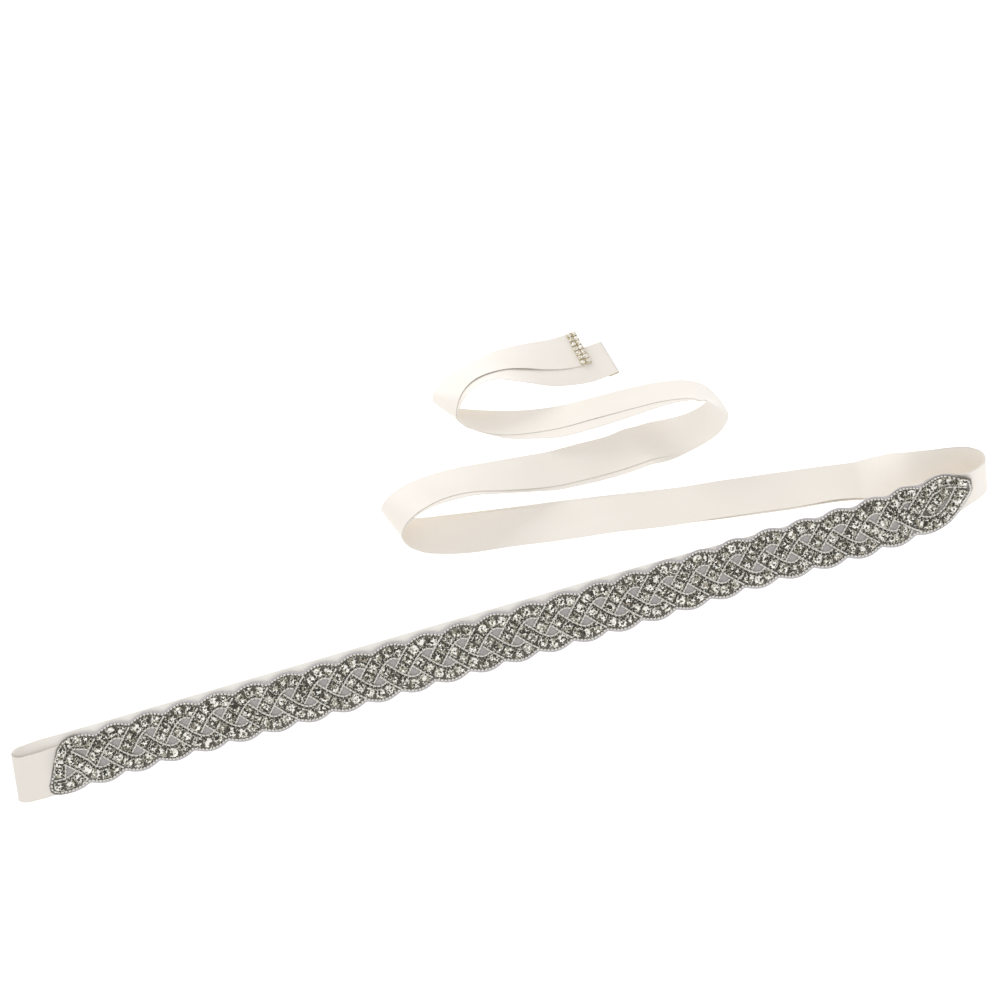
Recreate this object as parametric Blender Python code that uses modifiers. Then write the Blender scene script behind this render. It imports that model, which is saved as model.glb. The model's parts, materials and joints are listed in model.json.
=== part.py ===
"""Bridal sash laid down in curls: a satin ribbon folded double, with a plaited rhinestone
applique sewn on its front run and a row trim of stones on each of its two ends.

Both layers of the ribbon follow one route over the table.  Layer 1 carries the applique,
layer 2 lies against its back, and the fold at the left end of the front run joins them.
"""
import math

import bmesh
import bpy
import numpy as np
from mathutils import Vector

MM = 0.001

# Driving sizes, in millimetres.
RIBBON_WIDTH = 25.0
RIBBON_WALL = 1.0
SEAM_GAP = 0.3
ORIGIN_X = -17.6
ORIGIN_Y = 101.0

# The route, one row a section, in the order in which the ribbon runs.
# x, y, z: foot edge of layer 1, in mm.  bearing, pitch: which way the ribbon's width points
# from that edge, in degrees from +X and from level.  cup: how far each half of the width
# is curled up, in degrees.  foot, top: how far layer 2 lies behind layer 1 at its two
# edges, and slip: how far it is pushed along the width, in mm.
ROUTE = {
    "front": [
        (-289.0, -3.2, 0.4, 83, 37, 0, 2.4, 3.4, 5.8),
        (-280.0, -3.6, 0.9, 85, 37, 0, 3.8, 3.0, 6.4),
        (-268.0, -3.2, 1.4, 88, 37, 0, 4.8, 2.2, 6.3),
        (-250.0, -2.2, 1.6, 90, 37, 0, 4.4, 1.7, 5.4),
        (-140.0, -2.0, 1.6, 90, 37, 0, 4.2, 1.6, 4.5),
        (-20.0, -2.1, 1.6, 90, 37, 0, 4.2, 1.6, 4.4),
        (60.0, -1.5, 1.6, 90, 37, 0, 3.9, 1.6, 3.6),
        (110.0, -0.1, 1.6, 90, 37, 0, 2.7, 1.4, 1.6),
        (200.0, 1.0, 1.6, 90, 37, 0, 2.1, 1.4, 0.8),
        (220.0, 2.6, 1.6, 92, 38, 0, 2.1, 1.5, 0.8),
    ],
    "right_loop": [
        (235.0, 6.6, 1.4, 103, 50, 0, 2.0, 1.6, 0.6),
        (246.5, 10.8, 1.0, 134, 71, 0, 2.2, 1.9, 0.2),
        (254.5, 13.6, 1.0, 138, 77, 0, 2.2, 2.2, 0.0),
        (259.4, 17.2, 1.2, 132, 78, 0, 2.2, 2.4, -0.3),
        (259.8, 20.8, 1.2, 122, 76, 0, 2.2, 2.4, -0.5),
        (255.6, 23.8, 1.2, 114, 71, 0, 2.2, 2.4, -0.6),
        (247.0, 25.2, 1.2, 106, 66, 0, 2.2, 2.4, -0.6),
        (234.0, 25.4, 1.2, 96, 58, 0, 2.0, 2.2, -0.4),
    ],
    "second_run": [
        (222.0, 26.0, 0.9, 88, 42, 8, 1.7, 1.7, 0.0),
        (211.0, 28.7, 0.6, 82, 19, 8, 1.4, 1.4, 0.2),
        (198.0, 32.0, 0.5, 79, 3, 0, 1.3, 1.3, 0.4),
        (151.0, 40.5, 0.5, 80, 0, 0, 1.3, 1.3, 0.9),
        (122.0, 45.6, 0.5, 80, 0, 0, 1.3, 1.3, 0.6),
        (94.0, 51.1, 0.5, 80, 0, 0, 1.3, 1.3, -0.5),
        (37.0, 63.1, 0.5, 81, 0, 0, 1.3, 1.3, -2.1),
        (-8.0, 70.6, 0.5, 82, 4, 0, 1.3, 1.3, -1.8),
        (-25.0, 73.2, 0.5, 86, 8, 0, 1.3, 1.3, -1.3),
    ],
    "left_curl": [
        (-41.0, 77.0, 0.8, 97, 10, 0, 1.3, 1.3, -0.7),
        (-52.4, 80.1, 4.0, 104, 9, 0, 1.3, 1.3, -0.4),
        (-58.9, 83.6, 9.5, 108, 4, 0, 1.3, 1.3, -0.3),
        (-60.1, 85.8, 15.0, 110, -3, 0, 1.3, 1.3, -0.3),
        (-56.6, 88.8, 20.0, 111, -7, 0, 1.3, 1.3, -0.6),
        (-49.4, 92.2, 23.3, 111, -9, 0, 1.3, 1.3, -1.0),
        (-40.0, 95.2, 24.4, 110, -11, 0, 1.3, 1.3, -1.8),
        (-28.0, 97.9, 23.4, 108, -13, 0, 1.3, 1.3, -3.4),
    ],
    "third_run": [
        (-13.0, 98.8, 20.2, 103, -12, 0, 1.3, 1.3, -3.0),
        (2.0, 97.6, 15.4, 97, -7, 0, 1.3, 1.3, -2.0),
        (18.0, 96.8, 10.0, 93, -1, 0, 1.3, 1.3, -1.7),
        (34.0, 97.2, 4.8, 92, 3, 0, 1.3, 1.3, -2.6),
        (56.0, 97.2, 2.4, 91, 6, 0, 1.3, 1.3, -3.0),
        (77.0, 97.0, 1.8, 92, 9, 10, 1.5, 1.5, -3.6),
        (92.1, 96.8, 1.6, 98, 33, 26, 1.9, 1.9, -3.8),
        (106.1, 96.5, 1.4, 107, 59, 16, 1.9, 1.9, -2.3),
    ],
    "right_turn": [
        (119.1, 98.3, 1.2, 120, 68, 4, 1.6, 1.6, -1.1),
        (130.4, 101.4, 1.0, 140, 66, 0, 1.4, 1.4, -0.8),
        (139.6, 106.8, 1.0, 160, 63, 0, 1.4, 1.4, -0.5),
        (145.2, 114.0, 1.0, 184, 58, 0, 1.4, 1.4, -0.3),
        (145.0, 122.8, 1.2, 207, 51, 0, 1.4, 1.4, 0.2),
        (142.9, 132.0, 1.4, 226, 40, 0, 1.4, 1.4, 1.0),
        (138.7, 141.2, 1.6, 236, 31, 0, 1.3, 1.3, 2.0),
        (130.5, 147.6, 1.8, 242, 25, 0, 1.3, 1.3, 3.4),
    ],
    "fourth_run": [
        (117.0, 151.9, 1.8, 246, 22, 0, 1.3, 1.3, 5.8),
        (100.0, 154.2, 1.8, 250, 20, 0, 1.3, 1.3, 7.8),
        (75.0, 155.2, 1.8, 253, 20, 0, 1.3, 1.3, 9.5),
        (51.0, 156.6, 1.8, 255, 19, 0, 1.3, 1.3, 8.3),
        (34.0, 159.8, 1.8, 257, 18, 0, 1.3, 1.3, 4.8),
        (18.0, 164.8, 1.8, 262, 16, 0, 1.3, 1.3, 2.8),
    ],
    "far_curl": [
        (4.0, 170.4, 2.2, 272, 14, 0, 1.3, 1.3, 0.6),
        (-8.4, 175.5, 3.4, 283, 12, 0, 1.3, 1.3, 0.0),
        (-18.0, 178.8, 6.0, 293, 11, 0, 1.3, 1.3, 0.0),
        (-22.4, 181.4, 9.0, 298, 13, 0, 1.4, 1.3, -0.4),
        (-20.4, 184.1, 11.6, 300, 15, 0, 1.8, 1.3, -1.8),
        (-12.8, 187.5, 13.2, 299, 24, 0, 2.8, 1.4, -4.4),
        (-1.2, 190.6, 14.2, 296, 28, 0, 3.4, 1.8, -8.4),
        (11.4, 193.0, 13.4, 290, 26, 0, 3.2, 2.4, -12.0),
    ],
    "tail": [
        (23.0, 194.5, 12.0, 281, 19, 0, 2.6, 3.0, -14.6),
        (35.0, 194.5, 9.6, 278, 10, 0, 1.6, 3.4, -14.2),
        (48.0, 193.8, 7.2, 276, 0, 0, 1.4, 3.0, -13.2),
        (60.0, 193.0, 6.0, 276, -6, 0, 1.3, 2.0, -12.6),
        (72.0, 192.4, 6.2, 278, -12, 0, 1.3, 1.4, -12.6),
        (89.3, 193.2, 6.4, 280, -9, 0, 1.3, 1.3, -12.8),
    ],
}
# Longest step between two sections of a stretch, in mm.
SECTION_STEP = {
    "front": 4.5, "right_loop": 2.2, "second_run": 6.5, "left_curl": 2.6, "third_run": 5.0,
    "right_turn": 2.8, "fourth_run": 6.0, "far_curl": 2.8, "tail": 5.0,
}
SECOND_LAYER_SHORTER = 12.2
# Least distance from a crease across the width to the edge of layer 2.
CREASE_MARGIN = 3.0

# The fold at the left end of the front run.
FOLD_REACH_FOOT = 7.4
FOLD_REACH_TOP = 6.7
FOLD_STRAIGHT_STEPS = 2
FOLD_ROUND_STEPS = 8

# The applique: three bands of stones plaited over net, scalloped along both sides.
APPLIQUE_START = 11.5
APPLIQUE_LENGTH = 523.5
NET_THICKNESS = 1.0
# The pointed end stands off the twisting ribbon by this much at its tip.
LEAF_LIFT = 0.8
LEAF_LIFT_FROM = 445.0
SCALLOP_PITCH = 19.4
SCALLOP_PEAK = 15.2
SCALLOP_DEPTH = 2.8
FIRST_UPPER_PEAK = 21.7
PLAIT_BANDS = 3
PLAIT_AMPLITUDE = 10.9
BAND_HALF_WIDTH = 4.3
BAND_RISE = 1.5
CROSSING_RISE = 0.6
COLUMNS_PER_SCALLOP = 10
ROWS_ACROSS = 10
# Outlines of the slanted left end and of the pointed right end: distance along the
# applique, upper edge and lower edge, in mm.
END_COLUMNS = ("along", "upper", "lower")
BLUNT_END = [
    (0.0, -6.5, -10.0),
    (1.8, -2.6, -12.0),
    (4.9, 3.6, -13.4),
    (8.4, 10.6, -14.0),
    (12.4, 14.0, -14.3),
    (17.0, 15.4, -13.8),
    (21.7, 15.2, -12.4),
]
LEAF = [
    (487.3, 15.2, -12.4),
    (492.6, 14.4, -14.0),
    (497.0, 12.6, -14.6),
    (501.5, 14.0, -14.6),
    (507.0, 14.5, -14.0),
    (512.5, 14.2, -11.8),
    (517.5, 12.8, -8.2),
    (521.5, 10.6, -3.0),
    (523.5, 9.0, 1.0),
]

# The trim across each end: two lines of small stones.
TRIM_LENGTH = 6.6
TRIM_LINES = 2
TRIM_STONES = 8
TRIM_BASE = 0.8
TRIM_STONE_RISE = 0.9

# Colour, roughness and metallic value of each finish.
SATIN = ("ivory_satin", (0.87, 0.81, 0.74, 1.0), 0.38, 0.0)
STONES = ("silver_stones", (0.52, 0.51, 0.49, 1.0), 0.3, 0.6)
GOLD_STONES = ("gilt_stones", (0.72, 0.62, 0.42, 1.0), 0.3, 0.6)


def start_clean():
    """Empty the file and give back the collection that holds the sash."""
    for old in list(bpy.data.objects):
        bpy.data.objects.remove(old, do_unlink=True)
    sash = bpy.data.collections.new("bridal_sash")
    bpy.context.scene.collection.children.link(sash)
    return sash


def finish_of(spec):
    """One Principled material for a finish."""
    name, colour, roughness, metallic = spec
    material = bpy.data.materials.new(name)
    material.use_nodes = True
    shader = material.node_tree.nodes["Principled BSDF"]
    shader.inputs["Base Color"].default_value = colour
    shader.inputs["Roughness"].default_value = roughness
    shader.inputs["Metallic"].default_value = metallic
    return material


def pointing(bearing, pitch):
    """Unit vector along a bearing and a pitch, in degrees."""
    turn = math.radians(bearing)
    rise = math.radians(pitch)
    level = math.cos(rise)
    return np.array((math.cos(turn) * level, math.sin(turn) * level, math.sin(rise)))


class Route:
    """The ribbon's route as one smooth curve through the rows of the tables."""

    def __init__(self, tables):
        rows = [row for table in tables.values() for row in table]
        # A row's values here: foot edge, width direction, then cup, foot, top and slip.
        self.values = np.array([
            [*row[:3], *pointing(row[3], row[4]), *row[5:]] for row in rows
        ])
        middles = self.values[:, :3] + self.values[:, 3:6] * RIBBON_WIDTH / 2
        runs = np.linalg.norm(np.diff(middles, axis=0), axis=1)
        self.knots = np.concatenate(([0.0], np.cumsum(runs)))
        self.slopes = self.slopes_at_knots()
        self.starts = {}
        passed = 0
        for stretch, table in tables.items():
            self.starts[stretch] = self.knots[passed]
            passed += len(table)
        self.length = self.knots[-1]

    def slopes_at_knots(self):
        """Slope of every value at each row, weighted by the neighbouring runs."""
        runs = np.diff(self.knots)[:, None]
        steps = np.diff(self.values, axis=0) / runs
        slopes = np.empty_like(self.values)
        slopes[0] = steps[0]
        slopes[-1] = steps[-1]
        slopes[1:-1] = (steps[:-1] * runs[1:] + steps[1:] * runs[:-1]) / (runs[:-1] + runs[1:])
        return slopes

    def at(self, distance):
        """All the values at a distance along the route, by cubic blending."""
        last = len(self.knots) - 2
        i = min(max(int(np.searchsorted(self.knots, distance)) - 1, 0), last)
        run = self.knots[i + 1] - self.knots[i]
        u = (distance - self.knots[i]) / run
        values = (
            (2 * u ** 3 - 3 * u ** 2 + 1) * self.values[i]
            + (u ** 3 - 2 * u ** 2 + u) * run * self.slopes[i]
            + (3 * u ** 2 - 2 * u ** 3) * self.values[i + 1]
            + (u ** 3 - u ** 2) * run * self.slopes[i + 1]
        )
        values[3:6] /= np.linalg.norm(values[3:6])
        return values

    def heading(self, distance):
        """Unit vector along the route's middle line."""
        near = max(distance - 1.0, 0.0)
        far = min(distance + 1.0, self.length)
        first = self.at(near)
        second = self.at(far)
        run = (second[:3] - first[:3]) + (second[3:6] - first[3:6]) * RIBBON_WIDTH / 2
        return run / np.linalg.norm(run)

    def section(self, layer, distance):
        """Foot, middle and top point of a layer's middle surface, and its normal."""
        foot_x, foot_y, foot_z, width_x, width_y, width_z, cup, foot, top, slip = self.at(distance)
        width = np.array((width_x, width_y, width_z))
        heading = self.heading(distance)
        normal = np.cross(heading, width)
        normal /= np.linalg.norm(normal)
        curl = math.radians(cup)
        half = RIBBON_WIDTH / 2
        low_half = width * math.cos(curl) - normal * math.sin(curl)
        high_half = width * math.cos(curl) + normal * math.sin(curl)
        crease = np.array((foot_x, foot_y, foot_z)) + low_half * half

        def behind(across):
            """The point of layer 2 behind a place across layer 1."""
            gap = foot + (top - foot) * (across + half) / RIBBON_WIDTH
            side = high_half if across > 0 else low_half
            facing = np.cross(heading, side)
            return crease + side * across - facing / np.linalg.norm(facing) * gap

        first = [crease - low_half * half, crease, crease + high_half * half]
        turn = min(max(0.0, slip - half + CREASE_MARGIN), slip + half - CREASE_MARGIN)
        second = [behind(slip - half), behind(turn), behind(slip + half)]
        # Neither layer's underside goes below the table.
        level = max(abs(normal[2]), abs(np.cross(heading, low_half)[2])) / math.cos(curl)
        lowest = min(point[2] for point in first + second) - level * RIBBON_WALL / 2
        lift = np.array((0.0, 0.0, max(0.0, -lowest)))
        foot_point, middle, top_point = (point + lift for point in (second if layer == 2 else first))
        return foot_point, middle, top_point, normal

    def on_layer(self, layer, distance, across, lift):
        """A point across mm above the layer's middle line and lift mm off its surface."""
        foot, middle, top, normal = self.section(layer, distance)
        side = top - foot
        return (foot + top) / 2 + side * across / RIBBON_WIDTH + normal * lift


def place(point):
    """A point of the route, in mm, as a place in the part's frame, in metres."""
    return Vector((point[0] - ORIGIN_X, point[1] - ORIGIN_Y, point[2])) * MM


def add_object(sash, name, bm, material):
    """Turn a bmesh into a named object of the sash."""
    mesh = bpy.data.meshes.new(name)
    bm.normal_update()
    bm.to_mesh(mesh)
    bm.free()
    mesh.materials.append(material)
    mesh.shade_smooth()
    mesh.set_sharp_from_angle(angle=math.radians(40))
    piece = bpy.data.objects.new(name, mesh)
    sash.objects.link(piece)
    return piece


def loft(sash, name, sections, material):
    """A length of ribbon: a surface through its sections, thickened to a wall."""
    bm = bmesh.new()
    grid = [[bm.verts.new(place(point)) for point in section] for section in sections]
    for near, far in zip(grid, grid[1:]):
        for i in range(len(near) - 1):
            bm.faces.new((near[i], far[i], far[i + 1], near[i + 1]))
    piece = add_object(sash, name, bm, material)
    wall = piece.modifiers.new("wall", "SOLIDIFY")
    wall.thickness = RIBBON_WALL * MM
    wall.offset = 0.0
    wall.use_even_offset = True
    return piece


def spaced(start, end, step):
    """Distances from start to end, no further apart than a step."""
    count = max(2, math.ceil((end - start) / step) + 1)
    return [float(distance) for distance in np.linspace(start, end, count)]


def make_stretch(sash, route, stretch, layer, material):
    """One layer of one stretch of the ribbon, cut back by half a seam gap at each end."""
    names = list(route.starts)
    place_in_order = names.index(stretch)
    start = route.starts[stretch] + SEAM_GAP / 2
    if place_in_order + 1 < len(names):
        end = route.starts[names[place_in_order + 1]] - SEAM_GAP / 2
    else:
        end = route.length
    distances = spaced(start, end, SECTION_STEP[stretch])
    if end == route.length and layer == 2:
        short_end = route.length - SECOND_LAYER_SHORTER
        distances = [distance for distance in distances if distance < short_end] + [short_end]
    sections = [route.section(layer, distance)[:3] for distance in distances]
    return loft(sash, f"{stretch}_layer_{layer}", sections, material)


def fold_line(near, far, back, reach):
    """Points of the fold from one layer to the other: straight out, round, and back."""
    middle = (near + far) / 2
    radius = np.linalg.norm(near - far) / 2
    side = (near - far) / (2 * radius)
    straight = reach - radius
    points = []
    for i in range(FOLD_STRAIGHT_STEPS):
        points.append(near + back * straight * i / FOLD_STRAIGHT_STEPS)
    for i in range(FOLD_ROUND_STEPS + 1):
        angle = math.pi * i / FOLD_ROUND_STEPS
        points.append(
            middle + back * (straight + radius * math.sin(angle)) + side * radius * math.cos(angle)
        )
    for i in reversed(range(FOLD_STRAIGHT_STEPS)):
        points.append(far + back * straight * i / FOLD_STRAIGHT_STEPS)
    return points


def make_fold(sash, route, material):
    """The fold at the left end, which joins the two layers."""
    back = -route.heading(0.0) * (1.0, 1.0, 0.0)
    near = [point + back * SEAM_GAP / 2 for point in route.section(1, 0.0)[:3]]
    far = [point + back * SEAM_GAP / 2 for point in route.section(2, 0.0)[:3]]
    reaches = (FOLD_REACH_FOOT, (FOLD_REACH_FOOT + FOLD_REACH_TOP) / 2, FOLD_REACH_TOP)
    lines = [fold_line(n, f, back, reach) for n, f, reach in zip(near, far, reaches)]
    return loft(sash, "left_fold", list(zip(*lines)), material)


def relief_sheet(sash, name, rows, back_lift, point_at, material):
    """A closed sheet with a raised front over a plain back.

    Each row holds its distance and a list of (across, lift) for the front."""
    bm = bmesh.new()
    fronts = []
    backs = []
    for distance, front in rows:
        fronts.append([bm.verts.new(place(point_at(distance, *spot))) for spot in front])
        edges = (front[0][0], front[-1][0])
        backs.append([bm.verts.new(place(point_at(distance, edge, back_lift))) for edge in edges])
    for i in range(len(rows) - 1):
        near, far = fronts[i], fronts[i + 1]
        for j in range(len(near) - 1):
            bm.faces.new((near[j], far[j], far[j + 1], near[j + 1]))
        low, high = backs[i], backs[i + 1]
        bm.faces.new((low[1], high[1], high[0], low[0]))
        bm.faces.new((low[0], high[0], far[0], near[0]))
        bm.faces.new((near[-1], far[-1], high[1], low[1]))
    bm.faces.new([backs[0][0], *fronts[0], backs[0][1]])
    bm.faces.new([backs[-1][1], *reversed(fronts[-1]), backs[-1][0]])
    bmesh.ops.recalc_face_normals(bm, faces=bm.faces)
    return add_object(sash, name, bm, material)


def end_edge(end, along, column):
    """Upper or lower edge of an end of the applique, between the rows of its table."""
    index = END_COLUMNS.index(column)
    return float(np.interp(along, [row[0] for row in end], [row[index] for row in end]))


def scallop(turns):
    """Distance of a scalloped edge from the middle line; a peak at each whole turn."""
    return SCALLOP_PEAK - SCALLOP_DEPTH * (1.0 - abs(math.cos(math.pi * turns)))


def upper_edge(along):
    """Upper edge of the applique, across from its middle line."""
    for end in (BLUNT_END, LEAF):
        if end[0][0] <= along <= end[-1][0]:
            return end_edge(end, along, "upper")
    return scallop((along - FIRST_UPPER_PEAK) / SCALLOP_PITCH)


def lower_edge(along):
    """Lower edge, its scallops half a pitch out of step with the upper ones."""
    for end in (BLUNT_END, LEAF):
        if end[0][0] <= along <= end[-1][0]:
            return end_edge(end, along, "lower")
    return -scallop((along - FIRST_UPPER_PEAK) / SCALLOP_PITCH + 0.5)


def plait_lift(along, across):
    """Height of the applique's front above its net: three bands, over and under in turn."""
    period = PLAIT_BANDS * SCALLOP_PITCH
    highest = 0.0
    for band in range(PLAIT_BANDS):
        phase = 2 * math.pi * (along - FIRST_UPPER_PEAK - band * SCALLOP_PITCH) / period
        centre = PLAIT_AMPLITUDE * math.cos(phase)
        slope = -PLAIT_AMPLITUDE * math.sin(phase) * 2 * math.pi / period
        away = abs(across - centre) / math.hypot(1.0, slope) / BAND_HALF_WIDTH
        if away < 1.0:
            over = -math.sin(2 * phase)
            highest = max(highest, (BAND_RISE + CROSSING_RISE * over) * math.sqrt(1 - away ** 2))
    return highest


def make_applique(sash, route, material):
    """The plaited applique, lying on the front of layer 1."""
    back = RIBBON_WALL / 2 + SEAM_GAP
    step = SCALLOP_PITCH / COLUMNS_PER_SCALLOP
    rows = []
    for along in spaced(0.0, APPLIQUE_LENGTH, step):
        edges = lower_edge(along), upper_edge(along)
        front = []
        for across in np.linspace(*edges, ROWS_ACROSS + 1):
            front.append((across, back + NET_THICKNESS + plait_lift(along, across)))
        rows.append((APPLIQUE_START + along, front))

    def point_at(distance, across, lift):
        share = (distance - APPLIQUE_START - LEAF_LIFT_FROM) / (APPLIQUE_LENGTH - LEAF_LIFT_FROM)
        return route.on_layer(1, distance, across, lift + LEAF_LIFT * max(0.0, share))

    return relief_sheet(sash, "applique", rows, back, point_at, material)


def make_trim(sash, route, layer, material):
    """The trim across an end of the ribbon, on the face that carries the applique."""
    side = 1 if layer == 1 else -1
    end = route.length - (SECOND_LAYER_SHORTER if layer == 2 else 0.0)
    back = RIBBON_WALL / 2 + SEAM_GAP
    along_steps = TRIM_LINES * 2
    across_steps = TRIM_STONES * 2
    rows = []
    for i in range(along_steps + 1):
        distance = end - TRIM_LENGTH + TRIM_LENGTH * i / along_steps
        front = []
        for j in range(across_steps + 1):
            across = RIBBON_WIDTH * (j / across_steps - 0.5)
            stone = i % 2 and j % 2
            front.append((across, back + TRIM_BASE + (TRIM_STONE_RISE if stone else 0.0)))
        rows.append((distance, front))

    def point_at(distance, across, lift):
        return route.on_layer(layer, distance, across, side * lift)

    name = "end_trim_lower" if layer == 1 else "end_trim_upper"
    return relief_sheet(sash, name, rows, back, point_at, material)


def build():
    sash = start_clean()
    route = Route(ROUTE)
    satin = finish_of(SATIN)
    for stretch in ROUTE:
        for layer in (1, 2):
            make_stretch(sash, route, stretch, layer, satin)
    make_fold(sash, route, satin)
    make_applique(sash, route, finish_of(STONES))
    gilt = finish_of(GOLD_STONES)
    for layer in (1, 2):
        make_trim(sash, route, layer, gilt)


build()
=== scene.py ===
import json
import math

import bpy
import numpy as np
from mathutils import Matrix, Vector

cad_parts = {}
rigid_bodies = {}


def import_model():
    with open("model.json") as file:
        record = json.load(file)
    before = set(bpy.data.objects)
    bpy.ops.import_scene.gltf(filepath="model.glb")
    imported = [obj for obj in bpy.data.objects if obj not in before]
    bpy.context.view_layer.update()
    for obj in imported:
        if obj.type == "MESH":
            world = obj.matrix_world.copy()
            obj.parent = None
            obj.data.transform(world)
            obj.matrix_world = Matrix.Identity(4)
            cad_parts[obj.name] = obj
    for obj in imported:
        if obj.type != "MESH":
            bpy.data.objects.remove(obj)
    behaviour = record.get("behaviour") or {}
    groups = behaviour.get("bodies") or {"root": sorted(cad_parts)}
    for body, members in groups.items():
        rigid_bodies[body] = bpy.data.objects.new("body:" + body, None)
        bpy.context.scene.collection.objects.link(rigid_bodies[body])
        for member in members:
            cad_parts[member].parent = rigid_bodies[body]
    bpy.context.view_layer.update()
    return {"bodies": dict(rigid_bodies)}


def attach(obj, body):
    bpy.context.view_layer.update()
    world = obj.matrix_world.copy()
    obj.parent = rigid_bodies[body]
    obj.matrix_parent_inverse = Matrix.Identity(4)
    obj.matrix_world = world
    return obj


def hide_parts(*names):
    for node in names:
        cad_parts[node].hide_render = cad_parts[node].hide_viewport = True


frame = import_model()
root = next(iter(frame["bodies"]))

# ---------------------------------------------------------------------------
# The camera: it looks down on the laid-out sash from the front, tilted a
# little clockwise, so that the front run rises towards the right.
# ---------------------------------------------------------------------------
AIM = Vector((0.0176, -0.0324, 0.0480))
CAMERA_DISTANCE = 0.652
CAMERA_ELEVATION = math.radians(55.0)
CAMERA_ROLL = math.radians(16.24)
CAMERA_LENS = 43.2
CAMERA_SENSOR = 36.0

forward = Vector((0.0, math.cos(CAMERA_ELEVATION), -math.sin(CAMERA_ELEVATION)))
upward = Vector((0.0, math.sin(CAMERA_ELEVATION), math.cos(CAMERA_ELEVATION)))
level = Vector((1.0, 0.0, 0.0))
picture_right = level * math.cos(CAMERA_ROLL) - upward * math.sin(CAMERA_ROLL)
picture_up = level * math.sin(CAMERA_ROLL) + upward * math.cos(CAMERA_ROLL)
camera_data = bpy.data.cameras.new("camera")
camera_data.lens = CAMERA_LENS
camera_data.sensor_width = CAMERA_SENSOR
camera_data.clip_start = 0.01
camera = bpy.data.objects.new("camera", camera_data)
turned = Matrix((picture_right, picture_up, -forward)).transposed().to_4x4()
camera.matrix_world = Matrix.Translation(AIM - forward * CAMERA_DISTANCE) @ turned
bpy.context.scene.collection.objects.link(camera)
bpy.context.scene.camera = camera

# ---------------------------------------------------------------------------
# The table: a plain white top, and soft studio light round it.  One large
# soft lamp stands behind the sash and gives the satin its slow shading.
# ---------------------------------------------------------------------------
TABLE_SIZE = 6.0
TABLE_DROP = 0.0004
TABLE_GLOW = 0.80
KEY_POWER = 5.6
KEY_SIZE = 0.6
KEY_PLACE = Vector((-0.42, 1.05, 0.62))
ROOM_LIGHT = 0.89


def node_after(tree, kind, **settings):
    """A new node of a kind, with its properties set."""
    node = tree.nodes.new(kind)
    for setting, value in settings.items():
        setattr(node, setting, value)
    return node


def finish_named(name, colour, roughness, **values):
    """A Principled material with its plain values; gives it and its shader."""
    material = bpy.data.materials.new(name)
    material.use_nodes = True
    shader = material.node_tree.nodes["Principled BSDF"]
    shader.inputs["Base Color"].default_value = (*colour, 1.0)
    shader.inputs["Roughness"].default_value = roughness
    for socket, value in values.items():
        shader.inputs[socket].default_value = value
    return material, shader


bpy.ops.mesh.primitive_plane_add(size=TABLE_SIZE, location=(0.0, 0.0, -TABLE_DROP))
table_top = bpy.context.object
table_top.name = "table_top"
table_finish, _ = finish_named(
    "white_table", (0.55, 0.55, 0.55), 0.6,
    **{"Emission Color": (1.0, 1.0, 1.0, 1.0), "Emission Strength": TABLE_GLOW},
)
table_top.data.materials.append(table_finish)

lamp_data = bpy.data.lights.new("key_lamp", "AREA")
lamp_data.shape = "SQUARE"
lamp_data.size = KEY_SIZE
lamp_data.energy = KEY_POWER
key_lamp = bpy.data.objects.new("key_lamp", lamp_data)
key_lamp.location = KEY_PLACE
key_lamp.rotation_mode = "QUATERNION"
key_lamp.rotation_quaternion = (AIM - KEY_PLACE).to_track_quat("-Z", "Y")
bpy.context.scene.collection.objects.link(key_lamp)

world = bpy.data.worlds.new("studio")
world.use_nodes = True
background = world.node_tree.nodes["Background"]
background.inputs["Color"].default_value = (1.0, 1.0, 1.0, 1.0)
background.inputs["Strength"].default_value = ROOM_LIGHT
bpy.context.scene.world = world
bpy.context.scene.view_settings.view_transform = "Standard"

# ---------------------------------------------------------------------------
# The satin ribbon: one length of 25 mm double-face satin, folded double and
# laid in curls.  Both layers follow the route that its solids follow, from
# the cut end of layer 1 back to the fold, and forward again as layer 2.
# ---------------------------------------------------------------------------
MM = 0.001
RIBBON_WIDTH = 25.0
ORIGIN_X = -17.6
ORIGIN_Y = 101.0
SATIN_THICKNESS = 0.3
SECOND_LAYER_SHORTER = 12.2
WALL_SPARE = 0.95
CLOSEST = 0.36
FOLD_REACH = {-1: 7.4, 1: 6.7}
FOLD_STEPS = 20
SECTION_STEP = 1.6
# Places across the width: close together at the selvedges, which stand a
# hair thicker than the cloth.
ACROSS = (-12.5, -12.15, -11.4, -9.0, -6.0, -3.0, 0.0, 3.0, 6.0, 9.0, 11.4, 12.15, 12.5)

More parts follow.
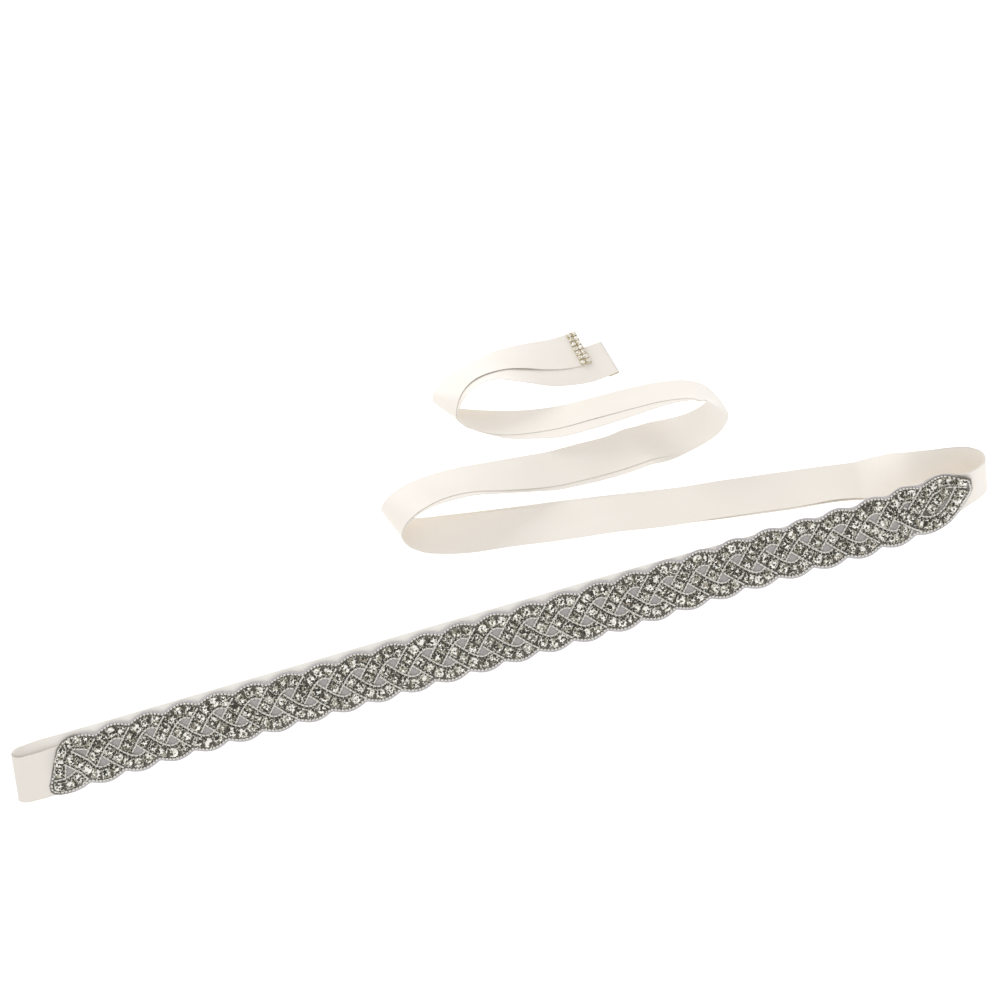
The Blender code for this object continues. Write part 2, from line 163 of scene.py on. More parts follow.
# x, y, z: foot edge of layer 1, in mm.  bearing, pitch: which way the width
# points, in degrees.  cup: how far each half curls up.  foot, top: how far
# layer 2 lies behind at each edge.  slip: how far it is pushed along the width.
ROUTE = [
    (-289.0, -3.2, 0.4, 83, 37, 0, 2.4, 3.4, 5.8),
    (-280.0, -3.6, 0.9, 85, 37, 0, 3.8, 3.0, 6.4),
    (-268.0, -3.2, 1.4, 88, 37, 0, 4.8, 2.2, 5.8),
    (-250.0, -2.2, 1.6, 90, 37, 0, 4.4, 1.7, 4.8),
    (-140.0, -2.0, 1.6, 90, 37, 0, 4.2, 1.6, 4.5),
    (-20.0, -2.1, 1.6, 90, 37, 0, 4.2, 1.6, 4.4),
    (60.0, -1.5, 1.6, 90, 37, 0, 3.9, 1.6, 3.6),
    (110.0, -0.1, 1.6, 90, 37, 0, 2.7, 1.4, 1.6),
    (200.0, 1.0, 1.6, 90, 37, 0, 2.1, 1.4, 0.8),
    (220.0, 2.6, 1.6, 92, 38, 0, 2.1, 1.5, 0.8),
    (235.0, 6.6, 1.4, 103, 50, 0, 1.7, 1.4, 0.6),
    (246.5, 10.8, 1.0, 134, 71, 0, 1.4, 1.3, 0.2),
    (254.5, 13.6, 1.0, 138, 77, 0, 1.3, 1.3, 0.0),
    (259.4, 17.2, 1.2, 132, 78, 0, 1.3, 1.3, -0.2),
    (259.8, 20.8, 1.2, 122, 76, 0, 1.3, 1.3, -0.2),
    (255.6, 23.8, 1.2, 114, 71, 0, 1.3, 1.3, -0.2),
    (247.0, 25.2, 1.2, 106, 66, 0, 1.3, 1.3, -0.2),
    (234.0, 25.4, 1.2, 96, 58, 0, 1.3, 1.3, -0.1),
    (222.0, 26.0, 0.9, 88, 42, 8, 1.3, 1.3, 0.0),
    (211.0, 28.7, 0.6, 82, 19, 8, 1.4, 1.4, 0.2),
    (198.0, 32.0, 0.5, 79, 3, 0, 1.3, 1.3, 0.4),
    (151.0, 40.5, 0.5, 80, 0, 0, 1.3, 1.3, 0.9),
    (122.0, 45.6, 0.5, 80, 0, 0, 1.3, 1.3, 0.6),
    (94.0, 51.1, 0.5, 80, 0, 0, 1.3, 1.3, -0.5),
    (37.0, 63.1, 0.5, 81, 0, 0, 1.3, 1.3, -2.1),
    (-8.0, 70.6, 0.5, 82, 4, 0, 1.3, 1.3, -1.8),
    (-25.0, 73.2, 0.5, 86, 8, 0, 1.3, 1.3, -1.3),
    (-41.0, 77.0, 0.8, 97, 10, 0, 1.3, 1.3, -0.7),
    (-52.4, 80.1, 4.0, 104, 9, 0, 1.3, 1.3, -0.4),
    (-58.9, 83.6, 9.5, 108, 4, 0, 1.3, 1.3, -0.3),
    (-60.1, 85.8, 15.0, 110, -3, 0, 1.3, 1.3, -0.3),
    (-56.6, 88.8, 20.0, 111, -7, 0, 1.3, 1.3, -0.6),
    (-49.4, 92.2, 23.3, 111, -9, 0, 1.3, 1.3, -1.0),
    (-40.0, 95.2, 24.4, 110, -11, 0, 1.3, 1.3, -1.8),
    (-28.0, 97.9, 23.4, 108, -13, 0, 1.3, 1.3, -3.4),
    (-13.0, 98.8, 20.2, 103, -12, 0, 1.3, 1.3, -3.0),
    (2.0, 97.6, 15.4, 97, -7, 0, 1.3, 1.3, -2.0),
    (18.0, 96.8, 10.0, 93, -1, 0, 1.3, 1.3, -1.7),
    (34.0, 97.2, 4.8, 92, 3, 0, 1.3, 1.3, -2.6),
    (56.0, 97.2, 2.4, 91, 6, 0, 1.3, 1.3, -3.0),
    (77.0, 97.0, 1.8, 92, 9, 10, 1.3, 1.3, -3.6),
    (92.1, 96.8, 1.6, 98, 33, 26, 1.3, 1.3, -3.8),
    (106.1, 96.5, 1.4, 107, 59, 16, 1.3, 1.3, -2.3),
    (119.1, 98.3, 1.2, 120, 68, 4, 1.3, 1.3, -1.1),
    (130.4, 101.4, 1.0, 140, 66, 0, 1.4, 1.4, -0.8),
    (139.6, 106.8, 1.0, 160, 63, 0, 1.4, 1.4, -0.5),
    (145.2, 114.0, 1.0, 184, 58, 0, 1.4, 1.4, -0.3),
    (145.0, 122.8, 1.2, 207, 51, 0, 1.4, 1.4, 0.2),
    (142.9, 132.0, 1.4, 226, 40, 0, 1.4, 1.4, 1.0),
    (138.7, 141.2, 1.6, 236, 31, 0, 1.3, 1.3, 2.0),
    (130.5, 147.6, 1.8, 242, 25, 0, 1.3, 1.3, 3.4),
    (117.0, 151.9, 1.8, 246, 22, 0, 1.3, 1.3, 6.1),
    (100.0, 154.2, 1.8, 250, 20, 0, 1.3, 1.3, 8.3),
    (75.0, 155.2, 1.8, 253, 20, 0, 1.3, 1.3, 10.0),
    (51.0, 156.6, 1.8, 255, 19, 0, 1.3, 1.3, 8.8),
    (34.0, 159.8, 1.8, 257, 18, 0, 1.3, 1.3, 5.3),
    (18.0, 164.8, 1.8, 262, 16, 0, 1.3, 1.3, 3.1),
    (4.0, 170.4, 2.2, 272, 14, 0, 1.3, 1.3, 0.6),
    (-8.4, 175.5, 3.4, 283, 12, 0, 1.3, 1.3, 0.0),
    (-18.0, 178.8, 6.0, 293, 11, 0, 1.3, 1.3, 0.0),
    (-22.4, 181.4, 9.0, 298, 13, 0, 1.4, 1.3, -0.4),
    (-20.4, 184.1, 11.6, 300, 15, 0, 1.6, 1.3, -1.8),
    (-12.8, 187.5, 13.2, 299, 24, 0, 2.1, 1.4, -4.4),
    (-1.2, 190.6, 14.2, 296, 28, 0, 2.3, 1.5, -8.6),
    (11.4, 193.0, 13.4, 290, 26, 0, 2.0, 1.6, -12.4),
    (23.0, 194.5, 12.0, 281, 19, 0, 1.6, 1.7, -15.0),
    (35.0, 194.5, 9.6, 278, 10, 0, 1.5, 2.2, -14.9),
    (48.0, 193.8, 7.2, 276, 0, 0, 1.4, 2.1, -14.0),
    (60.0, 193.0, 6.0, 276, -6, 0, 1.3, 1.7, -12.9),
    (72.0, 192.4, 6.2, 278, -12, 0, 1.3, 1.4, -12.6),
    (89.3, 193.2, 6.4, 280, -9, 0, 1.3, 1.3, -12.8),
]
HALF_WIDTH = RIBBON_WIDTH / 2

# Soft ripples left in the satin by the card it was wound on: distance along
# the route, layer, half length along it, depth, and lean across the width.
RIPPLES = [
    (4.0, 1, 7.0, -0.30, 0.00), (11.0, 1, 9.0, 0.75, 0.10), (560.0, 1, 9.0, 0.20, 0.10),
    (632.0, 2, 26.0, -0.90, 0.15), (700.0, 2, 24.0, -0.45, -0.10), (758.0, 2, 24.0, -0.80, 0.10),
    (818.0, 2, 22.0, -0.70, 0.10), (978.0, 1, 24.0, 0.20, 0.10), (1046.0, 1, 20.0, 0.12, 0.10),
    (1188.0, 1, 24.0, 0.12, 0.10), (1344.0, 2, 16.0, -0.30, 0.10),
]


def pointing(bearing, pitch):
    """Unit vector along a bearing and a pitch, in degrees."""
    turn = math.radians(bearing)
    rise = math.radians(pitch)
    flat = math.cos(rise)
    return (math.cos(turn) * flat, math.sin(turn) * flat, math.sin(rise))


def unit(vector):
    """The vector at a length of one."""
    return vector / np.linalg.norm(vector)


def runs_along(points):
    """How far each point of a line lies along it from its start."""
    return np.concatenate(([0.0], np.cumsum(np.linalg.norm(np.diff(points, axis=0), axis=1))))


route_values = np.array([[*row[:3], *pointing(row[3], row[4]), *row[5:]] for row in ROUTE])
route_middles = route_values[:, :3] + route_values[:, 3:6] * HALF_WIDTH
route_knots = runs_along(route_middles)
route_runs = np.linalg.norm(np.diff(route_middles, axis=0), axis=1)[:, None]
route_length = route_knots[-1]
route_steps = np.diff(route_values, axis=0) / route_runs
route_slopes = np.vstack((
    route_steps[:1],
    (route_steps[:-1] * route_runs[1:] + route_steps[1:] * route_runs[:-1])
    / (route_runs[:-1] + route_runs[1:]),
    route_steps[-1:],
))


def route_at(distance):
    """The table's values at a distance along the route, by cubic blending."""
    i = min(max(int(np.searchsorted(route_knots, distance)) - 1, 0), len(route_knots) - 2)
    run = route_knots[i + 1] - route_knots[i]
    u = (distance - route_knots[i]) / run
    values = (
        (2 * u ** 3 - 3 * u ** 2 + 1) * route_values[i]
        + (u ** 3 - 2 * u ** 2 + u) * run * route_slopes[i]
        + (3 * u ** 2 - 2 * u ** 3) * route_values[i + 1]
        + (u ** 3 - u ** 2) * run * route_slopes[i + 1]
    )
    values[3:6] = unit(values[3:6])
    return values


def heading_at(distance):
    """Unit vector along the route's middle line."""
    first = route_at(max(distance - 1.0, 0.0))
    second = route_at(min(distance + 1.0, route_length))
    return unit((second[:3] - first[:3]) + (second[3:6] - first[3:6]) * HALF_WIDTH)


def cloth_frame(distance):
    """The crease point, width direction, normal and layer values at a distance."""
    values = route_at(distance)
    width = values[3:6]
    heading = heading_at(distance)
    normal = unit(np.cross(heading, width))
    cup, foot, top, slip = values[6:10]
    bend = math.radians(cup)
    crease = values[:3] + (width * math.cos(bend) - normal * math.sin(bend)) * HALF_WIDTH
    # Neither layer's solid goes below the table, so both are lifted alike.
    edges = [
        crease + side * width * math.cos(bend) * HALF_WIDTH
        + normal * math.sin(bend) * HALF_WIDTH
        for side in (-1, 1)
    ]
    behind = [
        crease + width * math.cos(bend) * (side * HALF_WIDTH + slip)
        + normal * math.sin(bend) * HALF_WIDTH - normal * gap
        for side, gap in ((-1, foot), (1, top))
    ]
    lowest = min(point[2] for point in edges + behind + [crease])
    lift = max(0.0, abs(normal[2]) / 2 - lowest)
    crease = crease + np.array((0.0, 0.0, lift))
    return crease, width, heading, normal, bend, foot, top, slip


def on_layer(layer, distance, across, rise, cloth=None):
    """A point of the cloth, across mm from its middle and rise mm off its face."""
    crease, width, heading, normal, bend, foot, top, slip = cloth or cloth_frame(distance)
    reach = across + (slip if layer == 2 else 0.0)
    swing = 2 * bend * max(-1.0, min(1.0, reach / HALF_WIDTH))
    if bend > 1e-4:
        inner = max(-HALF_WIDTH, min(HALF_WIDTH, reach))
        radius = HALF_WIDTH / (2 * bend)
        along = radius * math.sin(2 * bend * inner / HALF_WIDTH)
        height = radius * (1 - math.cos(2 * bend * inner / HALF_WIDTH))
        along += (reach - inner) * math.cos(swing)
        height += (reach - inner) * math.sin(swing)
    else:
        along, height = reach, 0.0
    facing = normal * math.cos(swing) - width * math.sin(swing)
    point = crease + width * along + normal * height
    if layer == 2:
        # The cloth is thinner than its solid, so the layers lie that much closer.
        gap = foot + (top - foot) * (reach + HALF_WIDTH) / RIBBON_WIDTH
        point = point - facing * max(CLOSEST, gap - WALL_SPARE)
    return point + facing * rise


def ripple(layer, distance, across):
    """How far the ripples push a place of a layer off its plain form."""
    push = 0.0
    for centre, on, half, depth, lean in RIPPLES:
        away = (distance - centre - lean * across) / half
        if on == layer and abs(away) < 1.0:
            push += depth * math.cos(away * math.pi / 2) ** 2
    return push


def place(point):
    """A point in mm along the route's own axes, in metres in the part's frame."""
    return (
        (point[0] - ORIGIN_X) * MM,
        (point[1] - ORIGIN_Y) * MM,
        point[2] * MM,
    )


def spaced(start, end, step):
    """Distances from start to end, no further apart than a step."""
    return [float(x) for x in np.linspace(start, end, math.ceil(abs(end - start) / step) + 1)]


def ribbon_rows():
    """The ribbon's sections in order, from the end of layer 1 round to the end of layer 2."""
    rows = []
    for distance in spaced(route_length, 0.0, SECTION_STEP):
        cloth = cloth_frame(distance)
        rows.append([
            on_layer(1, distance, v, ripple(1, distance, v), cloth) for v in ACROSS
        ])
    back = -heading_at(0.0) * (1.0, 1.0, 0.0)
    near = rows[-1]
    cloth = cloth_frame(0.0)
    far = [on_layer(2, 0.0, v, 0.0, cloth) for v in ACROSS]
    for i in range(1, FOLD_STEPS):
        turn = math.pi * i / FOLD_STEPS
        row = []
        for v, n, f in zip(ACROSS, near, far):
            reach = np.interp(v, (-HALF_WIDTH, HALF_WIDTH), (FOLD_REACH[-1], FOLD_REACH[1]))
            radius = np.linalg.norm(n - f) / 2
            row.append((n + f) / 2 + (n - f) / 2 * math.cos(turn) + back * reach * math.sin(turn))
        rows.append(row)
    for distance in spaced(0.0, route_length - SECOND_LAYER_SHORTER, SECTION_STEP):
        cloth = cloth_frame(distance)
        rows.append([
            on_layer(2, distance, v, ripple(2, distance, v), cloth) for v in ACROSS
        ])
    return rows


def sheet_mesh(name, rows, across, thickness):
    """A cloth surface through its rows, thickened, with its cut laid out in its UV map."""
    mesh = bpy.data.meshes.new(name)
    wide = len(across)
    points = [place(point) for row in rows for point in row]
    faces = [
        (i * wide + j, (i + 1) * wide + j, (i + 1) * wide + j + 1, i * wide + j + 1)
        for i in range(len(rows) - 1) for j in range(wide - 1)
    ]
    mesh.from_pydata(points, [], faces)
    runs = runs_along(np.array([row[wide // 2] for row in rows]))
    cut = mesh.uv_layers.new(name="cut")
    for loop in mesh.loops:
        i, j = divmod(loop.vertex_index, wide)
        cut.data[loop.index].uv = (runs[i] * MM, across[j] * MM)
    mesh.shade_smooth()
    piece = bpy.data.objects.new(name, mesh)
    bpy.context.scene.collection.objects.link(piece)
    wall = piece.modifiers.new("wall", "SOLIDIFY")
    wall.thickness = thickness * MM
    wall.offset = 0.0
    wall.use_even_offset = True
    return piece, runs[-1]


def effect_group(name, colours, numbers, outputs):
    """An empty shader group with colour inputs, number inputs and named outputs."""
    group = bpy.data.node_groups.new(name, "ShaderNodeTree")
    new_socket = group.interface.new_socket
    for socket, grey in colours.items():
        made = new_socket(name=socket, in_out="INPUT", socket_type="NodeSocketColor")
        made.default_value = (grey, grey, grey, 1.0)
    for socket, value in numbers.items():
        made = new_socket(name=socket, in_out="INPUT", socket_type="NodeSocketFloat")
        made.default_value = value
    for socket in outputs:
        kind = "NodeSocketColor" if socket == "Colour" else "NodeSocketFloat"
        new_socket(name=socket, in_out="OUTPUT", socket_type=kind)
    entry = group.nodes.new("NodeGroupInput")
    leave = group.nodes.new("NodeGroupOutput")
    return group, entry, leave


def scaled(group, vector, scale):
    """A vector with its axes scaled apart."""
    mapping = node_after(group, "ShaderNodeMapping")
    mapping.inputs["Scale"].default_value = scale
    group.links.new(vector, mapping.inputs["Vector"])
    return mapping.outputs["Vector"]


def ranged(group, value, low, high, to_low=0.0, to_high=1.0, **settings):
    """A value carried over from one range to another, and kept within it."""
    spread = node_after(group, "ShaderNodeMapRange", **settings)
    spread.inputs["From Min"].default_value = low
    spread.inputs["From Max"].default_value = high
    spread.inputs["To Min"].default_value = to_low
    spread.inputs["To Max"].default_value = to_high
    group.links.new(value, spread.inputs["Value"])
    return spread.outputs["Result"]


def blended(group, share, first, second):
    """A mix of two colour sockets."""
    mix = node_after(group, "ShaderNodeMix", data_type="RGBA")
    group.links.new(share, mix.inputs["Factor"])
    group.links.new(first, mix.inputs[6])
    group.links.new(second, mix.inputs[7])
    return mix.outputs[2]


def weighted_sum(group, value, weight, other):
    """A value times a weight, plus another value."""
    total = node_after(group, "ShaderNodeMath", operation="MULTIPLY_ADD")
    group.links.new(value, total.inputs[0])
    total.inputs[1].default_value = weight
    group.links.new(other, total.inputs[2])
    return total.outputs["Value"]


def from_middle(group, cut):
    """How far a place of the cut lies from the middle of its width."""
    parts = node_after(group, "ShaderNodeSeparateXYZ")
    group.links.new(cut, parts.inputs["Vector"])
    away = node_after(group, "ShaderNodeMath", operation="ABSOLUTE")
    group.links.new(parts.outputs["Y"], away.inputs[0])
    return away.outputs["Value"]


def satin_weave_group():
    """Long floating warp threads: fine streaks along the cut, the selvedges, and painted light.
    """
    group, entry, leave = effect_group(
        "satin_weave", {"Colour": 0.8, "Shade": 0.7, "Painted Light": 0.9},
        {"Half Width": HALF_WIDTH * MM}, ("Colour", "Roughness", "Height"),
    )
    link = group.links.new
    cut = node_after(group, "ShaderNodeUVMap", uv_map="cut").outputs["UV"]
    warp = node_after(group, "ShaderNodeTexNoise")
    warp.inputs["Scale"].default_value = 1.0
    warp.inputs["Detail"].default_value = 3.0
    link(scaled(group, cut, (60.0, 4200.0, 1.0)), warp.inputs["Vector"])
    ties = node_after(group, "ShaderNodeTexVoronoi")
    ties.inputs["Scale"].default_value = 1.0
    link(scaled(group, cut, (2600.0, 5200.0, 1.0)), ties.inputs["Vector"])
    cloudy = node_after(group, "ShaderNodeTexNoise")
    cloudy.inputs["Scale"].default_value = 1.0
    link(scaled(group, cut, (28.0, 70.0, 1.0)), cloudy.inputs["Vector"])
    # Selvedge: a denser line of thread along each edge.
    inside = node_after(group, "ShaderNodeMath", operation="SUBTRACT")
    link(entry.outputs["Half Width"], inside.inputs[0])
    link(from_middle(group, cut), inside.inputs[1])
    selvedge = ranged(group, inside.outputs["Value"], 0.0009, 0.0006)
    tone = weighted_sum(group, warp.outputs["Fac"], 0.35, cloudy.outputs["Fac"])
    shade = ranged(group, tone, 0.35, 0.95, 0.0, 0.55)
    darker = weighted_sum(group, selvedge, 0.10, shade)
    woven = blended(group, darker, entry.outputs["Colour"], entry.outputs["Shade"])
    # Painted light: where layer 2 stands up alone above layer 1, the satin is painted paler.
    painted_light = node_after(group, "ShaderNodeAttribute", attribute_name="painted_light").outputs["Fac"]
    link(blended(group, painted_light, woven, entry.outputs["Painted Light"]), leave.inputs["Colour"])
    link(ranged(group, warp.outputs["Fac"], 0.0, 1.0, 0.42, 0.54), leave.inputs["Roughness"])
    height = node_after(group, "ShaderNodeMath", operation="ADD")
    link(warp.outputs["Fac"], height.inputs[0])
    link(ties.outputs["Distance"], height.inputs[1])
    link(weighted_sum(group, selvedge, 2.0, height.outputs["Value"]), leave.inputs["Height"])
    return group


def use_group(material, shader, group, values, bump_distance):
    """Place a group in a material and join its outputs to the shader's sockets."""
    tree = material.node_tree
    effect = node_after(tree, "ShaderNodeGroup", node_tree=group)
    for socket, value in values.items():
        effect.inputs[socket].default_value = value
    tree.links.new(effect.outputs["Colour"], shader.inputs["Base Color"])
    tree.links.new(effect.outputs["Roughness"], shader.inputs["Roughness"])
    bump = node_after(tree, "ShaderNodeBump")
    bump.inputs["Strength"].default_value = 0.5
    bump.inputs["Distance"].default_value = bump_distance
    tree.links.new(effect.outputs["Height"], bump.inputs["Height"])
    tree.links.new(bump.outputs["Normal"], shader.inputs["Normal"])


IVORY = (0.855, 0.805, 0.745, 1.0)
IVORY_SHADE = (0.815, 0.77, 0.695, 1.0)
# The palest ivory is painted light, for the satin of layer 2 that stands up alone.
IVORY_PAINTED_LIGHT = (0.99, 0.955, 0.90, 1.0)
PAINTED_LIGHT_EDGE = 1.5
PAINTED_LIGHT_RAMP = 40.0
PAINTED_LIGHT_TO = 512.0
satin_finish, satin_shader = finish_named(
    "ivory_satin", IVORY[:3], 0.4,
    **{"Sheen Weight": 0.25, "Sheen Roughness": 0.4, "Anisotropic": 0.5,
       "Specular IOR Level": 0.5},
)
use_group(
    satin_finish, satin_shader, satin_weave_group(),
    {"Colour": IVORY, "Shade": IVORY_SHADE, "Painted Light": IVORY_PAINTED_LIGHT}, 0.00003,
)
satin_ribbon, ribbon_length = sheet_mesh("satin_ribbon", ribbon_rows(), ACROSS, SATIN_THICKNESS)
satin_ribbon.data.materials.append(satin_finish)
# Behind the applique, layer 2 stands up past the upper edge of layer 1; there it gets painted
# light.
painted_light_mask = satin_ribbon.data.attributes.new("painted_light", "FLOAT", "POINT")
second_layer = spaced(0.0, route_length - SECOND_LAYER_SHORTER, SECTION_STEP)
for i, distance in enumerate(second_layer):
    if distance < PAINTED_LIGHT_TO:
        row_start = len(painted_light_mask.data) - (len(second_layer) - i) * len(ACROSS)
        slip = cloth_frame(distance)[7]
        for j, v in enumerate(ACROSS):
            stands = max(0.0, min(1.0, v + slip - HALF_WIDTH + PAINTED_LIGHT_EDGE))
            painted_light_mask.data[row_start + j].value = stands * min(1.0, distance / PAINTED_LIGHT_RAMP)
STRETCHES = (
    "front", "right_loop", "second_run", "left_curl", "third_run", "right_turn",
    "fourth_run", "far_curl", "tail",
)
ribbon_nodes = [f"{stretch}_layer_{layer}" for stretch in STRETCHES for layer in (1, 2)]
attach(satin_ribbon, root)
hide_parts(*ribbon_nodes, "left_fold")

# ---------------------------------------------------------------------------
# The applique's net: a strip of fine grey tulle, cut in scallops round the
# plait, blunt at its left end and pointed at its right.  It is stitched to
# the front of the ribbon and carries every stone and bead.
# ---------------------------------------------------------------------------
APPLIQUE_START = 11.5
APPLIQUE_LENGTH = 523.5
NET_THICKNESS = 0.3
NET_RISE = 1.0
NET_STEP = 0.97
NET_ROWS = 32
SCALLOP_PITCH = 19.4
SCALLOP_PEAK = 15.2
SCALLOP_DEPTH = 2.8
FIRST_UPPER_PEAK = 21.7
LEAF_LIFT = 0.8
LEAF_LIFT_FROM = 445.0
# Outlines of the two ends: along the applique, upper edge and lower edge.
BLUNT_END = [
    (0.0, -6.5, -10.0), (1.8, -2.6, -12.0), (4.9, 3.6, -13.4), (8.4, 10.6, -14.0),
    (12.4, 14.0, -14.3), (17.0, 15.4, -13.8), (21.7, 15.2, -12.4),
]
LEAF = [
    (487.3, 15.2, -12.4), (492.6, 13.8, -14.0), (497.0, 12.0, -14.6),
    (501.5, 12.8, -14.6), (507.0, 13.7, -14.0), (512.5, 13.9, -11.8),
    (517.5, 13.0, -8.2), (521.5, 11.2, -3.0), (523.5, 9.4, 1.0),
]


def scallop(turns):
    """Distance of a scalloped edge from the middle line; a peak at each whole turn."""
    return SCALLOP_PEAK - SCALLOP_DEPTH * (1.0 - abs(math.cos(math.pi * turns)))


def net_edge(along, side):
    """The applique's upper edge (side 1) or lower edge (side -1)."""
    for end in (BLUNT_END, LEAF):
        if end[0][0] <= along <= end[-1][0]:
            column = 1 if side > 0 else 2
            return float(np.interp(along, [row[0] for row in end], [row[column] for row in end]))
    turns = (along - FIRST_UPPER_PEAK) / SCALLOP_PITCH
    return side * scallop(turns if side > 0 else turns + 0.5)


def on_applique(along, across, rise):
    """A point over the applique's net, in mm on the route's axes."""
    share = max(0.0, (along - LEAF_LIFT_FROM) / (APPLIQUE_LENGTH - LEAF_LIFT_FROM))
    return on_layer(1, APPLIQUE_START + along, across, NET_RISE + rise + LEAF_LIFT * share)


def tulle_group():
    """Tulle: a fine net of six-sided holes, seen as a tone and a low relief, with painted shade.
    """
    group, entry, leave = effect_group(
        "tulle", {"Colour": 0.6, "Hole": 0.7, "Rim": 0.8, "Painted Shade": 0.2},
        {"Mesh Size": 1400.0}, ("Colour", "Roughness", "Height"),
    )
    link = group.links.new
    cut = node_after(group, "ShaderNodeUVMap", uv_map="cut").outputs["UV"]
    cells = node_after(group, "ShaderNodeTexVoronoi", feature="DISTANCE_TO_EDGE")
    cells.inputs["Randomness"].default_value = 0.35
    link(cut, cells.inputs["Vector"])
    link(entry.outputs["Mesh Size"], cells.inputs["Scale"])
    thread = ranged(group, cells.outputs["Distance"], 0.18, 0.06)
    mesh_colour = blended(group, thread, entry.outputs["Hole"], entry.outputs["Colour"])
    # The cut edge is turned in, so the doubled net along the rim looks paler.
    doubled = ranged(group, from_middle(group, cut), 0.0136, 0.0143)
    rimmed = blended(group, doubled, mesh_colour, entry.outputs["Rim"])
    # Painted shade: under the bands, among the stones, the net is painted darker.
    painted_shade = node_after(group, "ShaderNodeAttribute", attribute_name="painted_shade").outputs["Fac"]
    link(blended(group, painted_shade, rimmed, entry.outputs["Painted Shade"]), leave.inputs["Colour"])
    link(ranged(group, thread, 0.0, 1.0, 0.7, 0.5), leave.inputs["Roughness"])
    link(thread, leave.inputs["Height"])
    return group


net_along = spaced(0.0, APPLIQUE_LENGTH, NET_STEP)
net_shares = np.linspace(0.0, 1.0, NET_ROWS + 1)
net_places = [
    [
        (along, net_edge(along, -1) * (1.0 - share) + net_edge(along, 1) * share)
        for share in net_shares
    ]
    for along in net_along
]
net_rows = [[on_applique(along, across, 0.0) for along, across in row] for row in net_places]
NET_GREY = (0.30, 0.28, 0.27, 1.0)
NET_HOLE = (0.56, 0.53, 0.53, 1.0)
NET_RIM = (0.58, 0.55, 0.565, 1.0)
# The darkest net colour is painted shade, for the net among the stones.
NET_PAINTED_SHADE = (0.19, 0.175, 0.15, 1.0)
net_finish, net_shader = finish_named("grey_tulle", NET_GREY[:3], 0.7)
tulle = tulle_group()
use_group(
    net_finish, net_shader, tulle,
    {"Colour": NET_GREY, "Hole": NET_HOLE, "Rim": NET_RIM, "Painted Shade": NET_PAINTED_SHADE}, 0.0001,
)
net_across = [float(share * 2 * SCALLOP_PEAK - SCALLOP_PEAK) for share in net_shares]
applique_net, _ = sheet_mesh("applique_net", net_rows, net_across, NET_THICKNESS)
applique_net.data.materials.append(net_finish)
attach(applique_net, root)
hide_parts("applique")

# ---------------------------------------------------------------------------
# The rhinestones: clear round foiled stones in small claw settings, with painted
# glints on their facets, sewn one behind another along the three bands of the plait.
# ---------------------------------------------------------------------------
PLAIT_BANDS = 3
PLAIT_AMPLITUDE = 10.2
PERIOD = PLAIT_BANDS * SCALLOP_PITCH
PATH_STEP = 0.25
PATH_SOFTENING = 9
WAVE_FROM = 24.0
WAVE_TO = 480.0
WAVE_STEP = 2.0
# How the bands turn at the two ends: along, across, and whether a band lies
# over its neighbours there (1), beside them (0) or under them (-1).
BAND_STARTS = [
    [(5.8, -4.2, 0), (6.8, -1.0, 0), (8.0, 2.6, 0), (10.2, 7.0, 0), (14.0, 10.8, 0),
     (18.6, 11.8, 0)],
    [(2.6, -8.8, 0), (9.0, -9.6, 0), (13.0, -9.0, 0), (17.0, -7.4, -1), (20.8, -5.0, -1)],
    [(13.6, 4.8, 1), (17.4, 1.2, 1), (21.4, -2.8, 1)],
]
BAND_ENDS = [
    [(484.0, 10.2, 0), (488.0, 10.2, 0), (492.0, 9.0, -1), (494.0, 7.6, -1)],
    [(485.0, -4.0, -1), (488.6, -1.0, 1), (492.0, 2.0, 1), (496.4, 5.6, 1), (501.0, 8.4, 0.5),
     (506.5, 9.0, 0), (512.5, 9.4, 0), (517.5, 9.2, 0), (521.6, 8.2, 0)],
    [(483.2, 0.2, 1), (487.4, -4.0, 1), (492.0, -7.6, 0.5), (497.0, -9.8, 0), (502.5, -10.0, 0),
     (508.0, -8.2, 0), (512.6, -4.8, 0), (516.2, -0.8, 0), (518.6, 3.0, 0)],
]
# A short line of stones fills the lens between the bands inside the pointed end.
LEAF_FILL = [(496.8, -3.6, -1), (501.6, -0.9, -1), (506.4, 1.9, -1), (511.8, 4.2, -1)]
STONE_RADIUS = 2.5
STONE_HEIGHT = 1.9
STONE_FACETS = 8
# Rings of a stone's cut (table, star, girdle and base): shares of its radius
# and height, and the turn in steps of the ring.
STONE_RINGS = ((0.42, 1.0, 0), (0.70, 0.80, 0.5), (1.0, 0.40, 0), (0.9, 0.0, 0))
STONE_STEP = 5.35
STONE_EDGE_MARGIN = 2.7
TIP_MARGIN = 0.6
STONE_CLEARANCE = 3.8
CUP_WALL = 0.16
CUP_HEIGHT = 0.95
CUP_CORNER = 0.05
CUP_FOOT = 0.92
CUP_FLOOR = 0.3
CUP_FIT = 0.98
CUP_SIDES = 16
CLAW_RADIUS = 0.40
CLAW_REACH = 2.55
CLAW_RISE = 1.045
CROSSING_RISE = 0.7
LEAST_OVER = 0.02
PAINTED_SHADE_REACH = 4.3
PAINTED_SHADE_FADE = 0.8
STONE_RISE = 0.3
STONE_SEAT = 0.3
STONE_TWIST = 0.12
PAINTED_GLINT_SEED = 3
BEAD_SIDES = 6
BEAD_ROWS = 4


def unders_and_overs(phase):
    """How far a band of the plait lies over its neighbours at an angle of its wave."""
    return -np.sin(2 * phase)


def wave_rows(crest):
    """The wave of a band between the two ends of the plait, from one of its crests."""
    rows = []
    for along in np.arange(WAVE_FROM, WAVE_TO + WAVE_STEP / 2, WAVE_STEP):
        phase = 2 * math.pi * (along - crest) / PERIOD
        rows.append((along, PLAIT_AMPLITUDE * math.cos(phase), unders_and_overs(phase)))
    return rows


